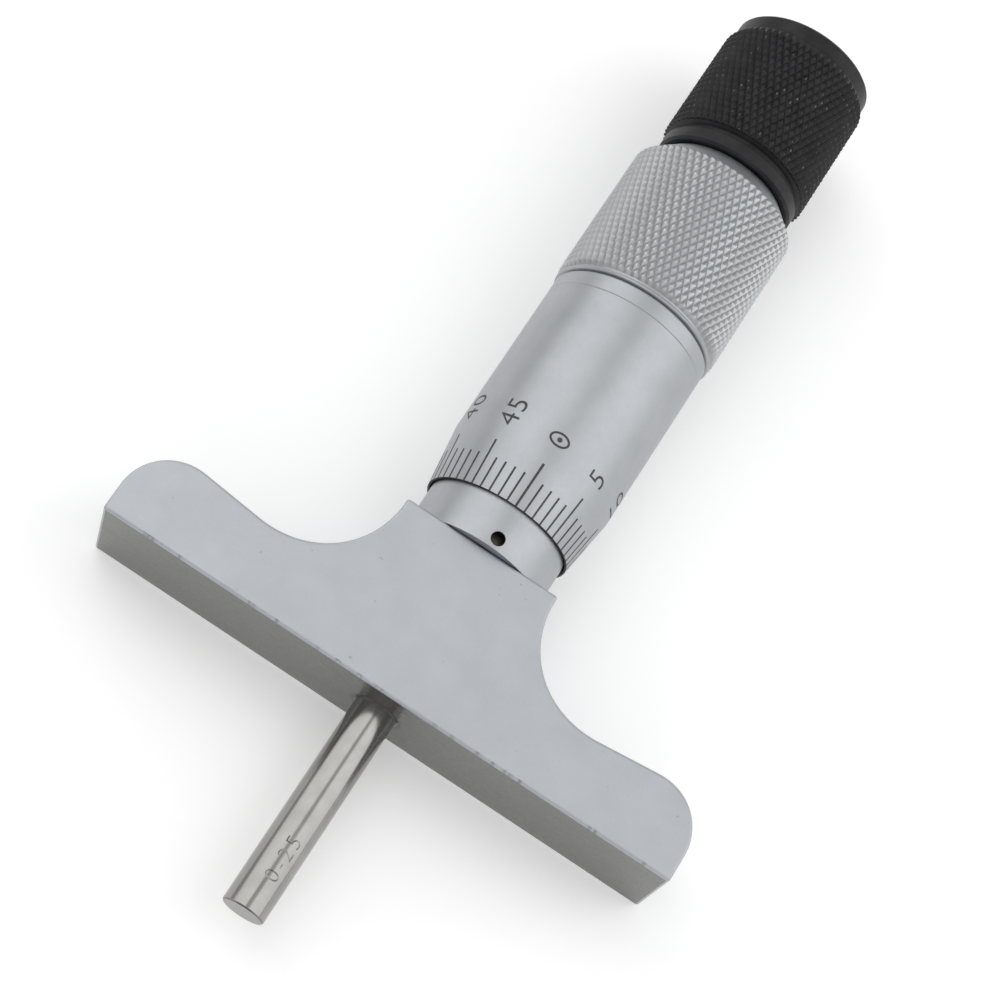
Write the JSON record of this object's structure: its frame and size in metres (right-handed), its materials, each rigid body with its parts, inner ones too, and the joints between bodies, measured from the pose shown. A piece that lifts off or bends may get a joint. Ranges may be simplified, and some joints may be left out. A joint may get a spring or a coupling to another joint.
{
  "type": "depth micrometer",
  "caption": "Depth micrometer with a flat T-shaped base, a round lift-out rod, a graduated thimble on a sleeve and a black knurled cap that clamps the rod.",
  "frame": {"origin": "on the spindle axis at the measuring face of the base", "axes": "+Y up the spindle axis from the rod's tip towards the cap, X along the base, +Z out of the base's front face; the micrometer lies on its back"},
  "size_m": [0.0636, 0.1085, 0.0186],
  "materials": {
    "satin_chrome": "satin bead-blasted chrome, lapped measuring face",
    "satin_scale": "fine satin chrome with black-filled graduations",
    "ground_rod": "ground and polished steel",
    "turned_steel": "turned steel",
    "black_cap": "blackened, slightly worn on the knurl"
  },
  "bodies": {
    "base": {"base": "satin_chrome", "inner_barrel": "turned_steel", "adjusting_nut": "turned_steel"},
    "sleeve": {"sleeve": "satin_scale"},
    "rod": {"rod": "ground_rod", "rod_adjusting_nut": "turned_steel", "rod_lock_nut": "turned_steel"},
    "thimble": {"spindle": "turned_steel", "thimble": "satin_scale", "thimble_nut": "turned_steel"},
    "cap": {"thimble_cap": "black_cap"}
  },
  "joints": [
    {"name": "sleeve_zero", "type": "hinge", "parent": "base", "child": "sleeve", "pos_m": [0, 0.0176, 0], "axis": [0, 1, 0], "continuous": true},
    {"name": "rod_feed", "type": "slide", "parent": "base", "child": "rod", "axis": [0, 1, 0], "range_m": [-0.00175, 0.02325]},
    {"name": "thimble_turn", "type": "hinge", "parent": "rod", "child": "thimble", "pos_m": [0, 0.02235, 0], "axis": [0, 1, 0], "range_deg": [-1260, 16740]},
    {"name": "cap_lift", "type": "slide", "parent": "thimble", "child": "cap", "axis": [0, 1, 0], "range_m": [0, 0.012]}
  ],
  "couplings": [
    {"joint": "rod_feed", "follows": "thimble_turn", "m_per_rad": 0.000079577}
  ]
}
